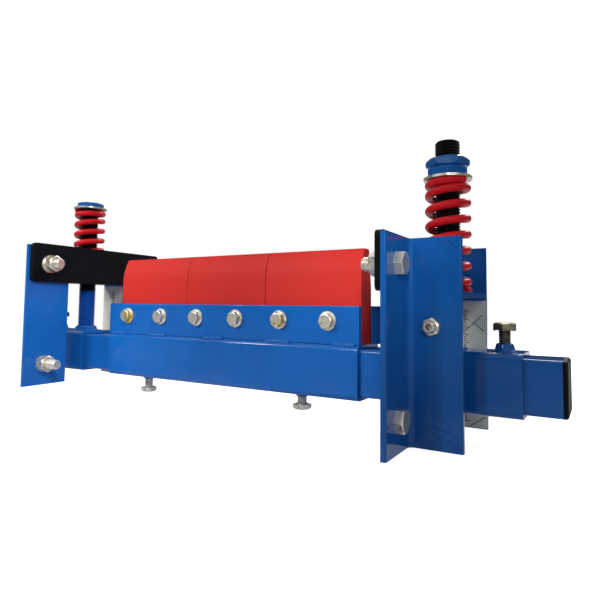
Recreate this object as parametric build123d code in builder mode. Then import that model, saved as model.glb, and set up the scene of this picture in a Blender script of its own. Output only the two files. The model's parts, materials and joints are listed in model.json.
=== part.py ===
from build123d import *
from collections import namedtuple
from math import cos, pi, radians, sin
import os

# A spring-tensioned belt scraper. Lengths are millimetres. X runs along the pole, the far side
# is +Y, and Z = 0 is the level of the right frame's lower end. The origin is midway between
# the two lifting rods.

# Pole: square tube with a plastic plug in each end
pole_side = 60
pole_wall = 4
pole_corner = 4
pole_overhang = 124
pole_height = 70
cap_thickness = 5
cap_plug_depth = 14
cap_corner = 3
cap_plug_clearance = 0.2
cap_plug_corner = 2
cap_wall = 3

# Sleeves and blade holder: a larger square tube that slides on the pole
tube_side = 70
tube_corner = 8
slide_clearance = 0.5
sleeve_inward = 34
sleeve_outward = 86
holder_length = 465
holder_middle = 2.5

# Lifting rods, M30, and the collar that each is welded in
rod_spacing = 680
rod_diameter = 29.6
rod_chamfer = 2
collar_diameter = 38
collar_height = 6
collar_clearance = 0.05

# Tension frames: two angle irons, a cross plate and a spring seat at each end
angle_length = 232
angle_thickness = 6
angle_fold_flange = 65
angle_bolt_flange = 76
angle_root_radius = 7
angle_toe_radius = 2.5
angle_opening = 126
frame_inset = 33
left_frame_lift = 19
seat_thickness = 6
left_seat_height = 178.5
right_seat_height = 172
seat_clearance = 1.2
cross_plate_thickness = 8
cross_plate_height = 64
cross_plate_above = 3
cross_plate_setback = 4
cross_plate_corner = 6
scale_plate_width = 52
scale_plate_thickness = 1.2
scale_plate_edge = 3.5
scale_plate_gap = 2

# Coil springs: ends closed and ground flat
left_spring_length = 135.5
right_spring_length = 138.5
spring_outside = 55
spring_wire = 10
spring_active_turns = 6
spring_end_pitch = 9
spring_ground = 2.5
spring_points_per_turn = 12
left_spring_start = -130
right_spring_start = -22

# Washer and thin nuts above each spring
thrust_washer_diameter = 58
thrust_washer_thickness = 3
thrust_washer_clearance = 0.7
rod_nut_flats = 46
left_nut_height = 9
right_nut_height = 12
rod_nut_clearance = 0.3
left_nut_turn = 25
right_nut_turn = 15
jam_nut_turn = 45
left_rod_standing = -0.5
right_rod_standing = 21

# Scraper blades and the two flat bars that clamp them
blade_count = 3
blade_width = 150
blade_thickness = 32
blade_height = 126
blade_front = -22.5
blade_right_edge = 235
blade_bend_height = 88
blade_lean = 11
blade_tip_thickness = 14
blade_tip_radius = 4
blade_back_height = 76
plate_length = 470
plates_middle = 0
plate_height = 50
plate_thickness = 8
plate_corner = 1.5
rear_plate_shift = 15

# The turned ends of every hexagon: the round face as a share of the flats, and the cone's angle
turned_face = 0.95
turned_angle = 60
# The chamfer on a bolt's tip, as a share of its diameter
tip_chamfer = 0.083
# The least corner radius inside a square tube
inner_corner = 1

# M12 flange bolts through the flat bars and blades
blade_bolt_diameter = 12
blade_bolt_pitch = 76
blade_bolt_middle = 0
blade_bolt_height = 30
blade_bolt_clearance = 0.5
flange_diameter = 26
flange_thickness = 3
flange_angle = 20
flange_hex_flats = 18
flange_hex_height = 9
blade_nut_height = 11
blade_bolt_thread_end = 5

# M16 bolts of the tension frames
frame_bolt_diameter = 16
left_bolt_length = 45
right_upper_bolt_length = 40
right_lower_bolt_length = 16
frame_bolt_gauge = 42
frame_bolt_low = 35
frame_bolt_spacing = 166
frame_bolt_flats = 24
frame_bolt_head = 10
frame_nut_height = 13
frame_washer_diameter = 30
frame_washer_thickness = 3
spring_washer_diameter = 26
spring_washer_thickness = 3.6
frame_bolt_clearance = 0.75
frame_nut_clearance = 0.1

# M14 set screws that clamp the holder and the sleeves on the pole
set_screw_diameter = 13.6
set_screw_flats = 22
set_screw_head = 8.2
set_screw_tip_gap = 0.1
weld_nut_height = 10
weld_nut_clearance = 0.3
weld_nut_wall_clearance = 0.8
left_screw_offset = 72
right_screw_offset = 63.5
sleeve_screw_stand = 25
holder_left_screw_x = -168
holder_left_screw_stand = 22
holder_right_screw_x = 135
holder_right_screw_stand = 14

# M12 grub screw with a lock nut on the near fold flange of each frame
grub_screw_diameter = 12
grub_screw_length = 40
grub_screw_height = 133
grub_screw_proud = 7
grub_socket_flats = 6
grub_socket_depth = 6
grub_nut_flats = 18
grub_nut_height = 10
grub_screw_clearance = 0.3

# Sizes that follow from the ones above
tube_inside = pole_side + 2 * slide_clearance
tube_wall = (tube_side - tube_inside) / 2
pole_half = rod_spacing / 2 + pole_overhang
tube_top = pole_height + tube_side / 2
tube_bottom = pole_height - tube_side / 2
pole_top = pole_height + pole_side / 2
pole_bottom = pole_height - pole_side / 2
flange_a_face = rod_spacing / 2 - frame_inset
bolt_line = angle_opening / 2 + frame_bolt_gauge
holder_left = holder_middle - holder_length / 2
blade_back = blade_front + blade_thickness
plate_front = blade_front - plate_thickness
spring_coil_radius = (spring_outside - spring_wire) / 2
spring_turns = spring_active_turns + 2
upper_bolt = frame_bolt_low + frame_bolt_spacing

# A pair of frame bolts: height on the frame, what they clamp besides the flange, their length,
# and whether they carry a flat washer, a spring washer and a nut
Bolt = namedtuple("Bolt", "height packing length flat_washer spring_washer nut")

# The two ends are set up differently: direction along X, height of the frame and of the shelf on
# it, spring, rod above the nuts, the nuts' height and how each is turned, set screw and bolts
End = namedtuple("End", "name sign lift seat spring coil_start standing nut_height nut_turns "
                        "screw_offset bolts")
ends = [
    End("left", -1, left_frame_lift, left_seat_height, left_spring_length, left_spring_start,
        left_rod_standing, left_nut_height, [left_nut_turn], left_screw_offset,
        [Bolt(frame_bolt_low, 0, left_bolt_length, False, True, True),
         Bolt(upper_bolt, cross_plate_thickness, left_bolt_length, True, True, True)]),
    End("right", 1, 0, right_seat_height, right_spring_length, right_spring_start,
        right_rod_standing, right_nut_height, [right_nut_turn, jam_nut_turn], right_screw_offset,
        [Bolt(frame_bolt_low, 0, right_lower_bolt_length, False, False, False),
         Bolt(upper_bolt, cross_plate_thickness, right_upper_bolt_length, True, False, True)]),
]

os.makedirs("parts", exist_ok=True)


def save(part, name):
    part.label = name
    export_step(part, f"parts/{name}.step")


def across(x, z=pole_height):
    """A plane square to the pole at x: its own x is +Y and its own y is +Z."""
    return Plane(origin=(x, 0, z), x_dir=(0, 1, 0), z_dir=(1, 0, 0))


def facing(x, y, z, direction, across_flats=(0, 0, 1)):
    """A plane at a point, facing a direction, for a fastener on that axis."""
    return Plane(origin=(x, y, z), x_dir=across_flats, z_dir=direction)


def hexagon(flats):
    """A hexagon given by its width across flats."""
    return RegularPolygon(flats / 2, 6, major_radius=False)


def square_tube(x_low, x_high, side, inside, corner):
    """A square tube along the pole, with rounded corners inside and out."""
    wall = (side - inside) / 2
    with BuildPart() as tube:
        with BuildSketch(across(x_low)):
            RectangleRounded(side, side, corner)
            RectangleRounded(inside, inside, max(corner - wall, inner_corner), mode=Mode.SUBTRACT)
        extrude(amount=x_high - x_low)
    return tube.part


def hex_nut(plane, flats, height, bore):
    """A hexagon nut standing on a plane, with the corners of both ends turned off."""
    with BuildPart() as nut:
        with BuildSketch(plane):
            hexagon(flats)
        extrude(amount=height)
        with BuildSketch(plane.offset(height)):
            Circle(flats / 2 * turned_face)
        extrude(amount=-height, taper=-turned_angle, mode=Mode.INTERSECT)
        with BuildSketch(plane):
            Circle(flats / 2 * turned_face)
        extrude(amount=height, taper=-turned_angle, mode=Mode.INTERSECT)
        with BuildSketch(plane):
            Circle(bore / 2)
        extrude(amount=height, mode=Mode.SUBTRACT)
    return nut.part


def hex_bolt(plane, diameter, length, flats, head):
    """A bolt whose head stands on a plane and whose shank runs back from it."""
    with BuildPart() as bolt:
        with BuildSketch(plane):
            hexagon(flats)
        extrude(amount=head)
        with BuildSketch(plane.offset(head)):
            Circle(flats / 2 * turned_face)
        extrude(amount=-head, taper=-turned_angle, mode=Mode.INTERSECT)
        with BuildSketch(plane):
            Circle(diameter / 2)
        extrude(amount=-length)
        tip = bolt.edges().filter_by(GeomType.CIRCLE).group_by(Axis(plane.origin, plane.z_dir))[0]
        chamfer(tip, diameter * tip_chamfer)
    return bolt.part


def washer(plane, outside, inside, thickness):
    """A flat ring standing on a plane."""
    with BuildPart() as ring:
        with BuildSketch(plane):
            Circle(outside / 2)
            Circle(inside / 2, mode=Mode.SUBTRACT)
        extrude(amount=thickness)
    return ring.part


# The pole and its plugs
save(square_tube(-pole_half, pole_half, pole_side, pole_side - 2 * pole_wall, pole_corner), "pole_tube")

for end in ends:
    sign = end.sign
    plug_side = pole_side - 2 * pole_wall - 2 * cap_plug_clearance
    with BuildPart() as end_cap:
        with BuildSketch(facing(sign * pole_half, 0, pole_height, (sign, 0, 0))):
            RectangleRounded(pole_side, pole_side, pole_corner)
        extrude(amount=cap_thickness)
        outer = end_cap.faces().sort_by(Axis.X)[-1 if sign > 0 else 0]
        fillet(outer.edges(), cap_corner)
        with BuildSketch(facing(sign * pole_half, 0, pole_height, (sign, 0, 0))):
            RectangleRounded(plug_side, plug_side, cap_plug_corner)
            Rectangle(plug_side - 2 * cap_wall, plug_side - 2 * cap_wall, mode=Mode.SUBTRACT)
        extrude(amount=-cap_plug_depth)
    save(end_cap.part, f"pole_end_cap_{end.name}")

# The blade holder: a tube on the pole, open at both ends, drilled for its set screws
holder_screws = [
    ("left", holder_left_screw_x, holder_left_screw_stand),
    ("right", holder_right_screw_x, holder_right_screw_stand),
]
wall_hole = set_screw_diameter / 2 + weld_nut_wall_clearance

with BuildPart() as holder_tube:
    add(square_tube(holder_left, holder_left + holder_length, tube_side, tube_inside, tube_corner))
    for _, x, _ in holder_screws:
        with BuildSketch(facing(x, 0, tube_bottom, (0, 0, 1), (1, 0, 0))):
            Circle(wall_hole)
        extrude(amount=tube_wall + slide_clearance, mode=Mode.SUBTRACT)
save(holder_tube.part, "holder_tube")

weld_nuts = []
for name, x, stand in holder_screws:
    bore = set_screw_diameter + 2 * weld_nut_clearance
    under = facing(x, 0, tube_bottom, (0, 0, -1), (1, 0, 0))
    weld_nuts.append(hex_nut(under, set_screw_flats, weld_nut_height, bore))
    head = facing(x, 0, tube_bottom - stand, (0, 0, -1), (1, 0, 0))
    reach = pole_bottom - set_screw_tip_gap - (tube_bottom - stand)
    screw = hex_bolt(head, set_screw_diameter, reach, set_screw_flats, set_screw_head)
    save(screw, f"holder_set_screw_{name}")
save(Compound(children=weld_nuts), "holder_weld_nuts")

# The flat bars that clamp the blades: drilled alike, one shifted along the other
bolt_xs = [blade_bolt_middle + blade_bolt_pitch * (i - blade_count + 0.5) for i in range(2 * blade_count)]
plate_holes = blade_bolt_diameter / 2 + blade_bolt_clearance


def clamp_plate(y_front, shift):
    """A flat bar standing on the holder, with a row of bolt holes."""
    with BuildPart() as plate:
        with BuildSketch(Plane.XZ.offset(-y_front)):
            with Locations((plates_middle + shift, tube_top + plate_height / 2)):
                Rectangle(plate_length, plate_height)
            with Locations([(x, tube_top + blade_bolt_height) for x in bolt_xs]):
                Circle(plate_holes, mode=Mode.SUBTRACT)
        extrude(amount=-plate_thickness)
        top = plate.edges().filter_by(Axis.X).group_by(Axis.Z)[-1]
        fillet(top, plate_corner)
    return plate.part


save(clamp_plate(plate_front, 0), "front_clamp_plate")
save(clamp_plate(blade_back, rear_plate_shift), "rear_clamp_plate")

# The blades: upright where they are clamped, then bent gently back to a thinner, rounded tip
blade_names = ["left", "middle", "right"]
for i, name in enumerate(blade_names):
    x_right = blade_right_edge - blade_width * (blade_count - 1 - i)
    tip_front = blade_front + blade_lean
    blade_top = tube_top + blade_height
    bend = (blade_front, tube_top + blade_bend_height)
    knee = (blade_back, tube_top + blade_back_height)
    with BuildPart() as blade:
        with BuildSketch(across(x_right - blade_width, 0)):
            with BuildLine():
                Line((blade_back, tube_top), (blade_front, tube_top))
                Line((blade_front, tube_top), bend)
                TangentArc(bend, (tip_front, blade_top), tangent=(0, 1))
                Line((tip_front, blade_top), (tip_front + blade_tip_thickness, blade_top))
                Line((tip_front + blade_tip_thickness, blade_top), knee)
                Line(knee, (blade_back, tube_top))
            make_face()
        extrude(amount=blade_width)
        tip = blade.edges().filter_by(Axis.X).group_by(Axis.Z)[-1]
        fillet(tip, blade_tip_radius)
        with BuildSketch(Plane.XZ.offset(-blade_front)):
            inside_blade = [x for x in bolt_xs if x_right - blade_width < x < x_right]
            with Locations([(x, tube_top + blade_bolt_height) for x in inside_blade]):
                Circle(plate_holes)
        extrude(amount=-blade_thickness, mode=Mode.SUBTRACT)
    save(blade.part, f"blade_{name}")

# The flange bolts and their nuts behind the rear plate
grip = 2 * plate_thickness + blade_thickness
blade_bolts = []
blade_nuts = []
for x in bolt_xs:
    z = tube_top + blade_bolt_height
    front = facing(x, plate_front, z, (0, -1, 0))
    with BuildPart() as bolt:
        with BuildSketch(front):
            Circle(flange_diameter / 2)
        extrude(amount=flange_thickness, taper=flange_angle)
        with BuildSketch(front):
            hexagon(flange_hex_flats)
        extrude(amount=flange_hex_height)
        with BuildSketch(front):
            Circle(blade_bolt_diameter / 2)
        extrude(amount=-(grip + blade_nut_height + blade_bolt_thread_end))
    blade_bolts.append(bolt.part)
    behind = facing(x, plate_front + grip, z, (0, 1, 0))
    nut_bore = blade_bolt_diameter + 2 * frame_nut_clearance
    with BuildPart() as nut:
        with BuildSketch(behind):
            Circle(flange_diameter / 2)
        extrude(amount=flange_thickness, taper=flange_angle)
        with BuildSketch(behind):
            hexagon(flange_hex_flats)
        extrude(amount=blade_nut_height)
        with BuildSketch(behind):
            Circle(nut_bore / 2)
        extrude(amount=blade_nut_height, mode=Mode.SUBTRACT)
    blade_nuts.append(nut.part)
save(Compound(children=blade_bolts), "blade_bolts")
save(Compound(children=blade_nuts), "blade_nuts")


def coil_height(turn, length):
    """Height of the wire's centre after so many turns, with closed turns at both ends."""
    pitch = (length - 2 * spring_end_pitch - 2 * spring_ground) / spring_active_turns
    if turn <= 1:
        return spring_ground + spring_end_pitch * turn
    if turn <= spring_turns - 1:
        return spring_ground + spring_end_pitch + pitch * (turn - 1)
    left_over = turn - (spring_turns - 1)
    return length - spring_ground - spring_end_pitch * (1 - left_over)


# What each end carries
for end in ends:
    name, sign, lift = end.name, end.sign, end.lift
    rod_x = sign * rod_spacing / 2
    inner_x = sign * flange_a_face
    angle_top = lift + angle_length
    seat_top = lift + end.seat
    washer_bottom = seat_top + end.spring
    nut_bottom = washer_bottom + thrust_washer_thickness
    rod_top = nut_bottom + len(end.nut_turns) * end.nut_height + end.standing

    # Sleeve on the pole, with the collar, rod and set screw on its top
    sleeve_low, sleeve_high = sorted([rod_x - sign * sleeve_inward, rod_x + sign * sleeve_outward])
    screw_x = rod_x + sign * end.screw_offset
    with BuildPart() as sleeve:
        add(square_tube(sleeve_low, sleeve_high, tube_side, tube_inside, tube_corner))
        with BuildSketch(facing(screw_x, 0, tube_top, (0, 0, -1), (1, 0, 0))):
            Circle(wall_hole)
        extrude(amount=tube_wall + slide_clearance, mode=Mode.SUBTRACT)
    save(sleeve.part, f"sleeve_{name}")

    save(washer(Plane((rod_x, 0, tube_top)), collar_diameter,
                rod_diameter + 2 * collar_clearance, collar_height), f"rod_collar_{name}")

    with BuildPart() as rod:
        with BuildSketch(Plane((rod_x, 0, tube_top))):
            Circle(rod_diameter / 2)
        extrude(amount=rod_top - tube_top)
        chamfer(rod.edges().group_by(Axis.Z)[-1], rod_chamfer)
    save(rod.part, f"lifting_rod_{name}")

    weld_plane = facing(screw_x, 0, tube_top, (0, 0, 1), (1, 0, 0))
    bore = set_screw_diameter + 2 * weld_nut_clearance
    save(hex_nut(weld_plane, set_screw_flats, weld_nut_height, bore), f"sleeve_weld_nut_{name}")
    head = facing(screw_x, 0, tube_top + sleeve_screw_stand, (0, 0, 1), (1, 0, 0))
    reach = tube_top + sleeve_screw_stand - (pole_top + set_screw_tip_gap)
    screw = hex_bolt(head, set_screw_diameter, reach, set_screw_flats, set_screw_head)
    save(screw, f"sleeve_set_screw_{name}")

    # Angle irons, mirrored about the pole: one flange faces along the pole, the other folds out
    for place, side in (("near", -1), ("far", 1)):
        heel_y = side * angle_opening / 2
        with BuildPart() as angle:
            with BuildSketch(Plane.XY.offset(lift)):
                with BuildLine():
                    Polyline(
                        (inner_x, heel_y),
                        (inner_x + sign * angle_fold_flange, heel_y),
                        (inner_x + sign * angle_fold_flange, heel_y + side * angle_thickness),
                        (inner_x + sign * angle_thickness, heel_y + side * angle_thickness),
                        (inner_x + sign * angle_thickness, heel_y + side * angle_bolt_flange),
                        (inner_x, heel_y + side * angle_bolt_flange),
                        close=True,
                    )
                make_face()
            extrude(amount=angle_length)
            uprights = angle.edges().filter_by(Axis.Z)
            root = (inner_x + sign * angle_thickness, heel_y + side * angle_thickness)
            toe_1 = (inner_x + sign * angle_fold_flange, heel_y + side * angle_thickness)
            toe_2 = (inner_x + sign * angle_thickness, heel_y + side * angle_bolt_flange)
            middle = lift + angle_length / 2
            fillet(uprights.sort_by_distance((*root, middle))[0], angle_root_radius)
            for toe in (toe_1, toe_2):
                uprights = angle.edges().filter_by(Axis.Z)
                fillet(uprights.sort_by_distance((*toe, middle))[0], angle_toe_radius)
            bolt_y = side * bolt_line
            bolt_zs = [lift + bolt.height for bolt in end.bolts]
            with BuildSketch(across(inner_x, 0)):
                with Locations([(bolt_y, z) for z in bolt_zs]):
                    Circle(frame_bolt_diameter / 2 + frame_bolt_clearance)
            extrude(amount=angle_thickness * sign, mode=Mode.SUBTRACT)
            if place == "near":
                with BuildSketch(facing(rod_x, heel_y, lift + grub_screw_height, (0, -1, 0))):
                    Circle(grub_screw_diameter / 2 + grub_screw_clearance)
                extrude(amount=angle_thickness, mode=Mode.SUBTRACT)
        save(angle.part, f"{place}_angle_{name}")

    # Cross plate that ties the two angle irons together at the top
    plate_half = angle_opening / 2 + angle_bolt_flange - cross_plate_setback
    plate_middle = angle_top + cross_plate_above - cross_plate_height / 2
    upper_z = lift + upper_bolt
    with BuildPart() as cross_plate:
        with BuildSketch(across(inner_x, 0)):
            with Locations((0, plate_middle)):
                RectangleRounded(2 * plate_half, cross_plate_height, cross_plate_corner)
            with Locations([(-bolt_line, upper_z), (bolt_line, upper_z)]):
                Circle(frame_bolt_diameter / 2 + frame_bolt_clearance, mode=Mode.SUBTRACT)
        extrude(amount=-cross_plate_thickness * sign)
    save(cross_plate.part, f"cross_plate_{name}")

    # Shelf that the spring stands on, welded between the folded flanges
    seat_middle = inner_x + sign * angle_fold_flange / 2
    with BuildPart() as seat:
        with BuildSketch(Plane((seat_middle, 0, seat_top - seat_thickness))):
            Rectangle(angle_fold_flange, angle_opening)
        extrude(amount=seat_thickness)
        with BuildSketch(Plane((rod_x, 0, seat_top - seat_thickness))):
            Circle(rod_diameter / 2 + seat_clearance)
        extrude(amount=seat_thickness, mode=Mode.SUBTRACT)
    save(seat.part, f"spring_seat_{name}")

    # Scale plate on the far folded flange, under the seat
    scale_top = seat_top - seat_thickness - scale_plate_gap
    scale_bottom = lift + scale_plate_gap / 2
    scale_x = inner_x + sign * (angle_fold_flange - scale_plate_edge - scale_plate_width / 2)
    scale_z = (scale_top + scale_bottom) / 2
    with BuildPart() as scale_plate:
        with BuildSketch(facing(scale_x, angle_opening / 2, scale_z, (0, -1, 0), (1, 0, 0))):
            Rectangle(scale_plate_width, scale_top - scale_bottom)
        extrude(amount=scale_plate_thickness)
    save(scale_plate.part, f"scale_plate_{name}")

    # Frame bolts, heads outside, washers and nuts inside
    bolts = []
    washers = []
    nuts = []
    outward = (sign, 0, 0)
    inward = (-sign, 0, 0)
    bolt_hole = frame_bolt_diameter + 2 * frame_bolt_clearance
    for y in (-bolt_line, bolt_line):
        for bolt in end.bolts:
            z = lift + bolt.height
            head = facing(inner_x + sign * angle_thickness, y, z, outward)
            bolts.append(hex_bolt(head, frame_bolt_diameter, bolt.length, frame_bolt_flats, frame_bolt_head))
            stack_x = inner_x - sign * bolt.packing
            if bolt.flat_washer:
                washers.append(washer(facing(stack_x, y, z, inward), frame_washer_diameter,
                                           bolt_hole, frame_washer_thickness))
                stack_x -= sign * frame_washer_thickness
            if bolt.spring_washer:
                washers.append(washer(facing(stack_x, y, z, inward), spring_washer_diameter,
                                           bolt_hole, spring_washer_thickness))
                stack_x -= sign * spring_washer_thickness
            if bolt.nut:
                nuts.append(hex_nut(facing(stack_x, y, z, inward), frame_bolt_flats, frame_nut_height,
                                    frame_bolt_diameter + 2 * frame_nut_clearance))
    save(Compound(children=bolts), f"frame_bolts_{name}")
    save(Compound(children=washers), f"frame_washers_{name}")
    save(Compound(children=nuts), f"frame_nuts_{name}")

    # Grub screw and its lock nut on the near folded flange
    flange_front = -angle_opening / 2 - angle_thickness
    grub_z = lift + grub_screw_height
    grub_front = flange_front - grub_nut_height - grub_screw_proud
    with BuildPart() as grub_screw:
        with BuildSketch(facing(rod_x, grub_front, grub_z, (0, 1, 0))):
            Circle(grub_screw_diameter / 2)
        extrude(amount=grub_screw_length)
        with BuildSketch(facing(rod_x, grub_front, grub_z, (0, 1, 0))):
            hexagon(grub_socket_flats)
        extrude(amount=grub_socket_depth, mode=Mode.SUBTRACT)
    save(grub_screw.part, f"grub_screw_{name}")
    grub_bore = grub_screw_diameter + 2 * grub_screw_clearance
    save(hex_nut(facing(rod_x, flange_front, grub_z, (0, -1, 0)), grub_nut_flats, grub_nut_height,
                 grub_bore), f"grub_lock_nut_{name}")

    # Coil spring: one round wire swept along a helix whose end turns close up, ground flat
    steps = spring_turns * spring_points_per_turn
    coil_points = []
    for i in range(steps + 1):
        turn = i / spring_points_per_turn
        angle_now = radians(end.coil_start) + 2 * pi * turn
        coil_points.append((
            rod_x + spring_coil_radius * cos(angle_now),
            spring_coil_radius * sin(angle_now),
            seat_top + coil_height(turn, end.spring),
        ))
    with BuildPart() as spring:
        with BuildLine():
            wire_path = Spline(*coil_points)
        with BuildSketch(Plane(origin=wire_path @ 0, z_dir=wire_path % 0)):
            Circle(spring_wire / 2)
        sweep(path=wire_path, is_frenet=True)
        split(bisect_by=Plane.XY.offset(seat_top), keep=Keep.TOP)
        split(bisect_by=Plane.XY.offset(washer_bottom), keep=Keep.BOTTOM)
    save(spring.part, f"coil_spring_{name}")

    # Thrust washer and thin nuts on the rod
    save(washer(Plane((rod_x, 0, washer_bottom)), thrust_washer_diameter,
                rod_diameter + 2 * thrust_washer_clearance, thrust_washer_thickness),
         f"thrust_washer_{name}")
    for i, (nut_name, turn) in enumerate(zip(("tension_nut", "jam_nut"), end.nut_turns)):
        turned = (cos(radians(turn)), sin(radians(turn)), 0)
        nut_plane = facing(rod_x, 0, nut_bottom + i * end.nut_height, (0, 0, 1), turned)
        save(hex_nut(nut_plane, rod_nut_flats, end.nut_height,
                     rod_diameter + 2 * rod_nut_clearance), f"{nut_name}_{name}")
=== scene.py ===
# %% [markdown]
# # A spring-tensioned belt scraper
# The part comes from CAD as named solids in metres: X runs along the pole, the far side is +Y and
# Z is up. Everything that Blender adds is placed in that same frame, so nothing has to be fitted.

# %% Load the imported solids
import json
from math import cos, pi, radians, sin, tan

import bmesh
import bpy
from mathutils import Matrix, Vector


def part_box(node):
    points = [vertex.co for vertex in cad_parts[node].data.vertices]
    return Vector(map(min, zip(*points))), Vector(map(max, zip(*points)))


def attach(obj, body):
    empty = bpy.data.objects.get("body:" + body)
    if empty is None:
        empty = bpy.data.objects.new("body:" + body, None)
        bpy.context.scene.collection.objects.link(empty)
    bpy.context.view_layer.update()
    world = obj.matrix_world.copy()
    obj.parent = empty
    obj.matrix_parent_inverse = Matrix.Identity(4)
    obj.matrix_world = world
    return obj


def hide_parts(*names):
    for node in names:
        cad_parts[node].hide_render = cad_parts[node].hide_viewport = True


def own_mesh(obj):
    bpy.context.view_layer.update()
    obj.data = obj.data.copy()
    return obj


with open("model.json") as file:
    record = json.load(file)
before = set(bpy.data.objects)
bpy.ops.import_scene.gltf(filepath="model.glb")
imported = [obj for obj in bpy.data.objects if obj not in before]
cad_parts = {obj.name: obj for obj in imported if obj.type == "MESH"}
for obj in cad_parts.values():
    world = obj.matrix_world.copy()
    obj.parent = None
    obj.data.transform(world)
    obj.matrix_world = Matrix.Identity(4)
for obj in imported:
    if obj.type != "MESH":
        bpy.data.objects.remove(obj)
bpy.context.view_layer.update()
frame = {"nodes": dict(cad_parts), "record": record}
nodes = frame["nodes"]

# %% [markdown]
# ## Small helpers
# A colour is written as a web colour and turned to the linear values that Blender works in. One
# function adds any node, with its settings and its inputs, so that a material or a geometry tree reads
# as a list of steps. An input is a fixed value, an output, or a node, which stands for its first
# output. Lengths are written in millimetres, because that is how the piece would be measured in a
# workshop.

# %% Colour, node and size helpers
mm = 0.001


def colour(web):
    """A web colour such as #1250A0 as linear red, green, blue and alpha."""
    parts = [int(web[i:i + 2], 16) / 255 for i in (1, 3, 5)]
    return [p / 12.92 if p <= 0.04045 else ((p + 0.055) / 1.055) ** 2.4 for p in parts] + [1.0]


def set_inputs(tree, node, inputs):
    """Gives each input its fixed value, or joins it to an output or to a node's first output."""
    for key, value in inputs.items():
        if isinstance(value, bpy.types.Node):
            value = value.outputs[0]
        if isinstance(value, bpy.types.NodeSocket):
            tree.links.new(value, node.inputs[key])
        else:
            node.inputs[key].default_value = value


def add(tree, kind, inputs=None, **settings):
    """Adds a node with its inputs; the settings are its attributes."""
    node = tree.nodes.new(kind)
    for key, value in settings.items():
        setattr(node, key, value)
    set_inputs(tree, node, inputs or {})
    return node


def start_finish(name):
    """A new material, its tree, its shader and the object coordinates in metres."""
    material = bpy.data.materials.new(name)
    material.use_nodes = True
    tree = material.node_tree
    shader = tree.nodes["Principled BSDF"]
    place = add(tree, "ShaderNodeTexCoord").outputs["Object"]
    return material, tree, shader, place


# %% [markdown]
# ## Blue enamel on rolled steel
# The tubes, bars and angle irons wear an alkyd enamel, put on by spray gun over hot-rolled steel.
# It lies thick and glossy, but the film follows the slow waves of the steel and its own orange peel.
# One wide noise shifts the blue and the gloss a little. The waves are too shallow to model, so the
# same kind of noise tilts the surface normal by a degree or two, which bends the reflections, and a
# fine bump adds the peel. A grey tint holds the reflections back, so that they don't outshine the blue.
# The Scale of a noise counts its waves in a metre: 14 and 16 make them 60 to 70 mm wide, and 330 makes
# the peel about 3 mm wide.

# %% Make the blue enamel
def wavy(tree, place, scale, tilt):
    """The surface normal, tilted a little by a wide noise."""
    wide = add(tree, "ShaderNodeTexNoise", {"Vector": place, "Scale": scale, "Detail": 0})
    centred = add(tree, "ShaderNodeVectorMath", {0: wide.outputs["Color"], 1: (0.5, 0.5, 0.5)},
                  operation="SUBTRACT")
    plain = add(tree, "ShaderNodeNewGeometry").outputs["Normal"]
    tilted = add(tree, "ShaderNodeVectorMath", {0: centred, 1: (tilt, tilt, tilt), 2: plain},
                 operation="MULTIPLY_ADD")
    return add(tree, "ShaderNodeVectorMath", {0: tilted}, operation="NORMALIZE")


blue_enamel, tree, shader, place = start_finish("alkyd enamel, blue, sprayed")
wide = add(tree, "ShaderNodeTexNoise", {"Vector": place, "Scale": 14, "Detail": 2})
blues = add(tree, "ShaderNodeMix", {0: wide, 6: colour("#12559F"), 7: colour("#1A66B8")}, data_type="RGBA")
peel = add(tree, "ShaderNodeTexNoise", {"Vector": place, "Scale": 330, "Detail": 1})
fine = add(tree, "ShaderNodeBump", {"Height": peel, "Normal": wavy(tree, place, 16, 0.1), "Strength": 0.12,
                                    "Distance": 0.05 * mm})
set_inputs(tree, shader, {
    "Base Color": blues.outputs[2],
    "Roughness": add(tree, "ShaderNodeMapRange", {"Value": wide, "To Min": 0.1, "To Max": 0.18}),
    "Normal": fine,
    "Specular IOR Level": 0.4,
    "Specular Tint": colour("#B9BDC6"),
})
print("made", blue_enamel.name)

# %% [markdown]
# ## Black enamel
# The cross plates are painted black, with a satin film that shows the grain of the rolled bar. The real
# grain is too fine to show in a picture, so it is drawn about 2.5 mm wide.

# %% Make the black enamel
black_reflection = colour("#6E6E6E")
black_enamel, tree, shader, place = start_finish("alkyd enamel, black, satin")
wide = add(tree, "ShaderNodeTexNoise", {"Vector": place, "Scale": 18, "Detail": 3})
blacks = add(tree, "ShaderNodeMix", {0: wide, 6: colour("#07080B"), 7: colour("#101217")}, data_type="RGBA")
grain = add(tree, "ShaderNodeTexNoise", {"Vector": place, "Scale": 420, "Detail": 2})
set_inputs(tree, shader, {
    "Base Color": blacks.outputs[2],
    "Roughness": add(tree, "ShaderNodeMapRange", {"Value": wide, "To Min": 0.42, "To Max": 0.58}),
    "Normal": add(tree, "ShaderNodeBump", {"Height": grain, "Strength": 0.3, "Distance": 0.06 * mm}),
    "Specular IOR Level": 0.2,
    "Specular Tint": black_reflection,
})
print("made", black_enamel.name)

# %% [markdown]
# ## Black oxide with a painted foot
# A lifting rod is screw-threaded bar with black oxide and oil on it. Its lowest part was sprayed blue
# together with the sleeve, up to an uneven line. The height of a point decides which it is, and a
# little noise with waves about 8 mm wide lifts the line, so that it wanders as overspray does. The oil
# lies in patches about 17 mm wide.

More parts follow.
